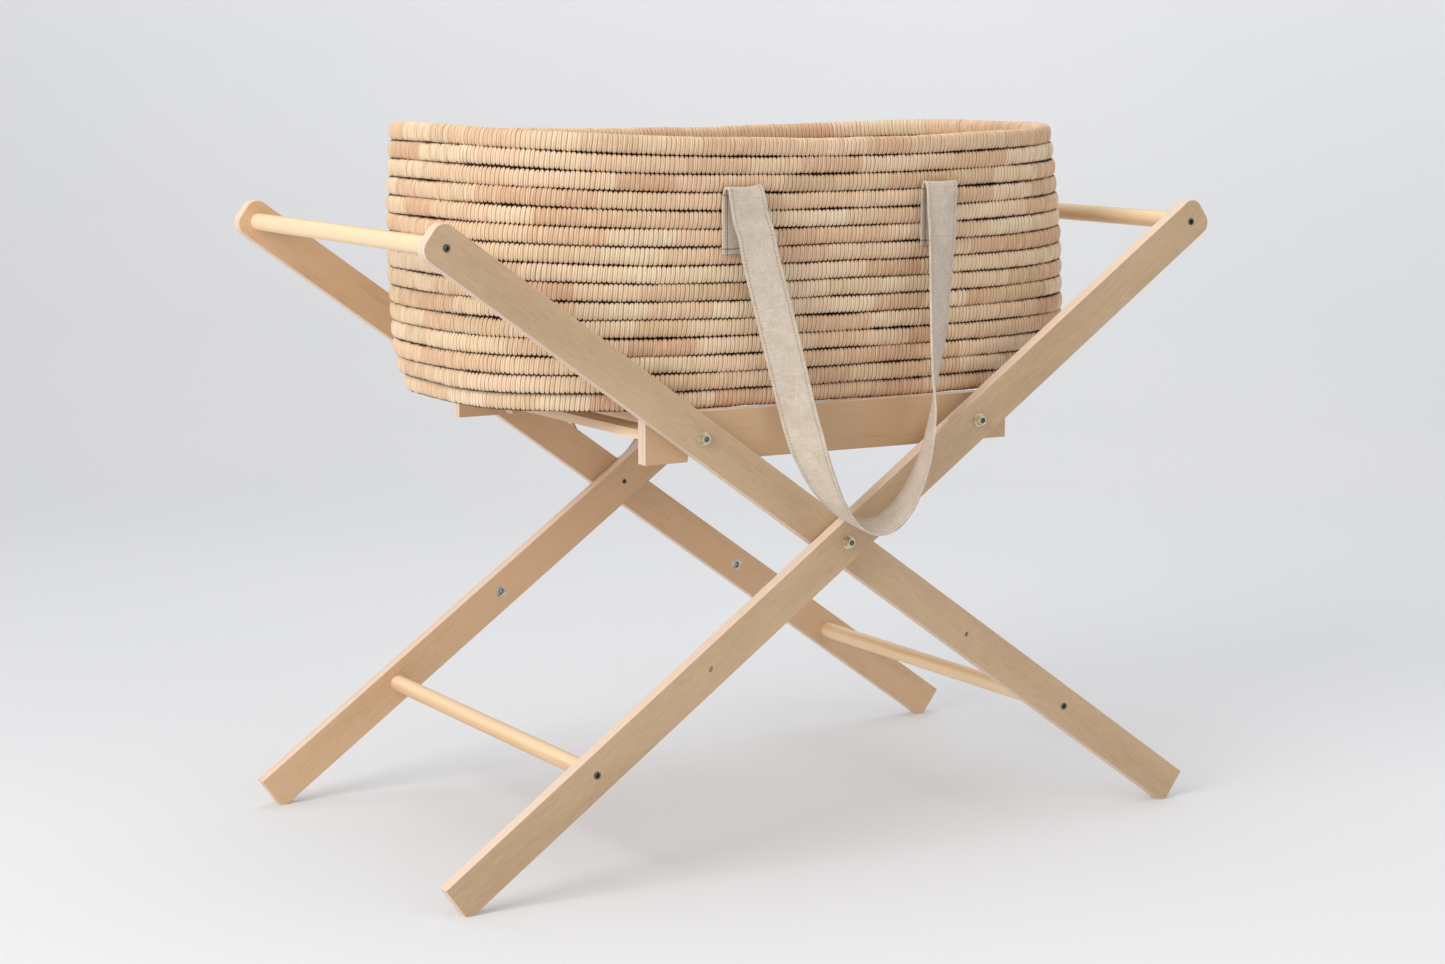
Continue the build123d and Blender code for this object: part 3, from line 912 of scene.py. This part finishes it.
# %% Strap route
STRAP_THICKNESS = 0.0022
STRAP_DROOP = 0.25
DROOP_TOP = 0.6
DROOP_REACH = 0.15
STRAP_BOW = 0.001
BOW_WAVE = 9.0
BOW_TOP = 0.66
BOW_REACH = 0.1
STRAP_STEPS = 10
STEPS_PER_STATION = 7
STRAP_ROUTE = (
    (-0.1045, -0.2154, 0.6180, 0),
    (-0.1045, -0.2156, 0.6450, 0),
    (-0.1045, -0.2158, 0.6680, 0),
    (-0.1044, -0.2168, 0.6782, 0),
    (-0.1042, -0.2200, 0.6826, -1),
    (-0.1034, -0.2246, 0.6818, -4),
    (-0.1018, -0.2274, 0.6730, -7),
    (-0.0985, -0.2290, 0.6520, -11),
    (-0.0945, -0.2326, 0.6360, -14),
    (-0.0909, -0.2350, 0.6130, -18),
    (-0.0810, -0.2410, 0.5660, -26),
    (-0.0710, -0.2470, 0.5180, -34),
    (-0.0610, -0.2530, 0.4700, -43),
    (-0.0567, -0.2581, 0.4464, -47),
    (-0.0524, -0.2658, 0.4230, -54),
    (-0.0439, -0.2712, 0.3981, -62),
    (-0.0317, -0.2754, 0.3741, -71),
    (-0.0125, -0.2772, 0.3519, -80),
    (0.0097, -0.2775, 0.3432, -88),
    (0.0322, -0.2775, 0.3467, -96),
    (0.0524, -0.2776, 0.3627, -103),
    (0.0681, -0.2772, 0.3868, -108),
    (0.0787, -0.2764, 0.4120, -112),
    (0.0860, -0.2740, 0.4368, -116),
    (0.0930, -0.2680, 0.4605, -121),
    (0.0995, -0.2610, 0.4900, -132),
    (0.1056, -0.2560, 0.5220, -143),
    (0.1105, -0.2510, 0.5460, -149),
    (0.1192, -0.2405, 0.5930, -158),
    (0.1260, -0.2326, 0.6350, -168),
    (0.1278, -0.2290, 0.6520, -172),
    (0.1286, -0.2274, 0.6730, -176),
    (0.1292, -0.2246, 0.6820, -178),
    (0.1298, -0.2200, 0.6832, -180),
    (0.1300, -0.2168, 0.6786, -180),
    (0.1300, -0.2158, 0.6680, -180),
    (0.1300, -0.2156, 0.6450, -180),
    (0.1300, -0.2154, 0.6190, -180),
)


def smooth_route(stations, steps):
    """A smooth line of x, y, z and turn through the stations (a Catmull-Rom spline)."""
    stations = np.array(stations)
    padded = np.vstack([2 * stations[0] - stations[1], stations, 2 * stations[-1] - stations[-2]])
    line = []
    for before, start, end, after in zip(padded, padded[1:], padded[2:], padded[3:]):
        for t in np.arange(steps) / steps:
            bend = 2 * before - 5 * start + 4 * end - after
            twist = 3 * start - before - 3 * end + after
            line.append(0.5 * (2 * start + (end - before) * t + bend * t**2 + twist * t**3))
    line.append(stations[-1])
    return np.array(line)


route = smooth_route(STRAP_ROUTE, STEPS_PER_STATION)
route_steps = np.linalg.norm(np.diff(route[:, :3], axis=0), axis=1)
STRAP_LENGTH = float(route_steps.sum())
linen_cloth = linen(STRAP_LENGTH)
print("strap", round(STRAP_LENGTH, 3), "m long")

# %% [markdown]
# Each row of the strip is square to the route, turned by the station's own angle, and droops
# outwards below the fold, where the webbing hangs free. The far strap is the near one mirrored.

# %% Straps
def lay_strap(name, side):
    """A strap on the near side (-1) or the far side (1)."""
    deselect()
    lengths = len(route) - 1
    bpy.ops.mesh.primitive_grid_add(x_subdivisions=STRAP_STEPS, y_subdivisions=lengths, size=1)
    strap = bpy.context.object
    strap.name = name
    columns = STRAP_STEPS + 1
    along = np.concatenate([[0], np.cumsum(route_steps)])
    tangents = np.gradient(route[:, :3], along, axis=0)
    uv_places = {}
    for i, station in enumerate(route):
        centre = Vector(station[:3])
        tangent = Vector(tangents[i]).normalized()
        turn = math.radians(station[3])
        droop = STRAP_DROOP * min(max((DROOP_TOP - station[2]) / DROOP_REACH, 0), 1)
        width = Vector((math.cos(turn), math.sin(turn), -droop))
        width = (width - width.dot(tangent) * tangent).normalized()
        cup = width.cross(tangent)
        for j in range(columns):
            share = j / STRAP_STEPS
            bow = STRAP_BOW * math.sin(math.pi * share) * math.sin(BOW_WAVE * along[i] + 1)
            bow *= min(max((BOW_TOP - station[2]) / BOW_REACH, 0), 1)
            place = centre + width * (share - 0.5) * STRAP_WIDTH + cup * bow
            vertex = strap.data.vertices[i * columns + j]
            vertex.co = (place.x, place.y * -side, place.z)
            uv_places[vertex.index] = (share * STRAP_WIDTH, along[i])
    for loop, uv in zip(strap.data.loops, strap.data.uv_layers.active.data):
        uv.uv = uv_places[loop.vertex_index]
    bpy.ops.object.mode_set(mode="EDIT")
    bpy.ops.mesh.select_all(action="SELECT")
    bpy.ops.mesh.normals_make_consistent(inside=False)
    bpy.ops.object.mode_set(mode="OBJECT")
    solid = strap.modifiers.new("cloth", "SOLIDIFY")
    solid.thickness = STRAP_THICKNESS
    solid.offset = 0
    bpy.ops.object.modifier_apply(modifier="cloth")
    bevel = strap.modifiers.new("edges", "BEVEL")
    bevel.width = 0.0007
    bevel.segments = 2
    bevel.limit_method = "ANGLE"
    bpy.ops.object.modifier_apply(modifier="edges")
    bpy.ops.object.shade_smooth()
    strap.data.materials.append(linen_cloth)
    return strap


for side_name, side in (("near", -1), ("far", 1)):
    strap = lay_strap(f"carry_strap_{side_name}", side)
    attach(strap, "basket")
    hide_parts(f"strap_{side_name}", f"strap_ends_{side_name}")
    print(strap.name, len(strap.data.polygons), "faces")

# %% [markdown]
# ## Tidying up
# The two single turns that the rows and the base rings were built from are removed.

# %% End
bpy.data.objects.remove(wall_turn)
bpy.data.objects.remove(base_turn)
